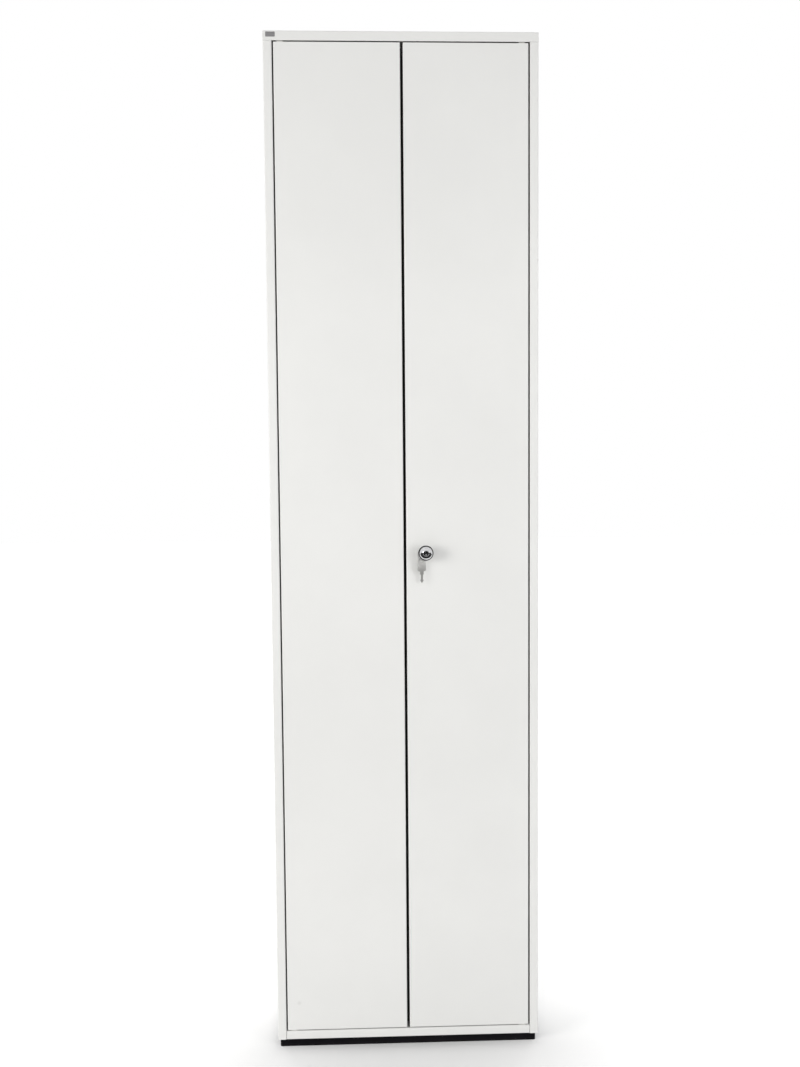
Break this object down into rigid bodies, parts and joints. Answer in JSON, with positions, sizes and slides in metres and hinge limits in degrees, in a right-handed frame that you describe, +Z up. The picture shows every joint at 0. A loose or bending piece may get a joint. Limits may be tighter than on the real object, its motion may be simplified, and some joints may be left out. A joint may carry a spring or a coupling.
{
  "type": "broom cupboard",
  "caption": "Tall narrow steel broom cupboard with inset doors on a low dark plinth, a chrome turning knob that drives locking rods, a hanging key, shelves and broom hooks inside.",
  "frame": {"origin": "middle of the footprint on the floor, under the plinth", "axes": "+X to the right and +Y to the back as seen from the front, +Z up"},
  "size_m": [0.5, 0.4452, 1.9],
  "materials": {
    "white_paint": "satin powder coat",
    "black_paint": "satin powder coat",
    "chrome": "polished plate",
    "zinc_steel": "bright zinc plate",
    "nickel": "worn nickel plate",
    "nylon": "moulded",
    "dark_plastic": "moulded",
    "rubber": "matt"
  },
  "bodies": {
    "carcass": {"left_side_panel": "white_paint", "right_side_panel": "white_paint", "top_panel": "white_paint", "door_head": "white_paint", "floor_panel": "white_paint", "back_panel": "white_paint", "plinth": "black_paint", "foot_nuts": "zinc_steel", "floor_plugs": "nylon", "hinge_bushes": "nylon", "door_buffers": "rubber", "magnet_catch": "dark_plastic", "rod_keepers": "zinc_steel", "left_shelf_strips": "zinc_steel", "right_shelf_strips": "zinc_steel", "divider_shelf_strips": "zinc_steel", "divider": "white_paint", "top_shelf": "white_paint", "lower_side_shelf": "white_paint", "middle_side_shelf": "white_paint", "upper_side_shelf": "white_paint", "shelf_clips": "zinc_steel", "hook_rail": "white_paint", "broom_hooks": "zinc_steel"},
    "left_door": {"left_door_panel": "white_paint", "left_door_stiffener": "white_paint", "left_door_pivots": "zinc_steel", "dust_seal": "rubber"},
    "right_door": {"right_door_panel": "white_paint", "right_door_stiffener": "white_paint", "right_door_pivots": "zinc_steel", "lock_barrel": "chrome", "lock_clip": "zinc_steel", "rod_guides": "nylon"},
    "turning_knob": {"knob": "chrome", "knob_grip": "dark_plastic", "crank": "zinc_steel", "latch_tongue": "zinc_steel", "tongue_screw": "zinc_steel"},
    "lock_plug": {"lock_cylinder": "chrome"},
    "upper_locking_rod": {"upper_rod": "zinc_steel", "upper_rod_end": "zinc_steel"},
    "lower_locking_rod": {"lower_rod": "zinc_steel", "lower_rod_end": "zinc_steel"},
    "keys": {"key_ring": "nickel", "key": "nickel"},
    "foot_front_left": {"levelling_foot_front_left": "zinc_steel"},
    "foot_front_right": {"levelling_foot_front_right": "zinc_steel"},
    "foot_back_left": {"levelling_foot_back_left": "zinc_steel"},
    "foot_back_right": {"levelling_foot_back_right": "zinc_steel"}
  },
  "joints": [
    {"name": "left_door_swing", "type": "hinge", "parent": "carcass", "child": "left_door", "pos_m": [-0.2195, -0.202, 0.9595], "axis": [0, 0, -1], "range_deg": [0, 110]},
    {"name": "right_door_swing", "type": "hinge", "parent": "carcass", "child": "right_door", "pos_m": [0.2195, -0.202, 0.9595], "axis": [0, 0, 1], "range_deg": [0, 110]},
    {"name": "knob_turn", "type": "hinge", "parent": "right_door", "child": "turning_knob", "pos_m": [0.038, -0.21, 0.954], "axis": [0, 1, 0], "range_deg": [0, 90]},
    {"name": "upper_rod_slide", "type": "slide", "parent": "right_door", "child": "upper_locking_rod", "axis": [0, 0, 1], "range_m": [0, 0.01697]},
    {"name": "lower_rod_slide", "type": "slide", "parent": "right_door", "child": "lower_locking_rod", "axis": [0, 0, -1], "range_m": [0, 0.01697]},
    {"name": "plug_turn", "type": "hinge", "parent": "turning_knob", "child": "lock_plug", "pos_m": [0.038, -0.21, 0.954], "axis": [0, 1, 0], "range_deg": [0, 90]},
    {"name": "keys_swing", "type": "hinge", "parent": "right_door", "child": "keys", "pos_m": [0.038, -0.21, 0.954], "axis": [0, 1, 0], "range_deg": [-25, 25]},
    {"name": "foot_front_left_screw", "type": "slide", "parent": "carcass", "child": "foot_front_left", "axis": [0, 0, -1], "range_m": [0, 0.01]},
    {"name": "foot_front_right_screw", "type": "slide", "parent": "carcass", "child": "foot_front_right", "axis": [0, 0, -1], "range_m": [0, 0.01]},
    {"name": "foot_back_left_screw", "type": "slide", "parent": "carcass", "child": "foot_back_left", "axis": [0, 0, -1], "range_m": [0, 0.01]},
    {"name": "foot_back_right_screw", "type": "slide", "parent": "carcass", "child": "foot_back_right", "axis": [0, 0, -1], "range_m": [0, 0.01]}
  ],
  "couplings": [
    {"joint": "knob_turn", "follows": "upper_rod_slide", "rad_per_m": 92.56},
    {"joint": "lower_rod_slide", "follows": "upper_rod_slide", "ratio": 1}
  ]
}
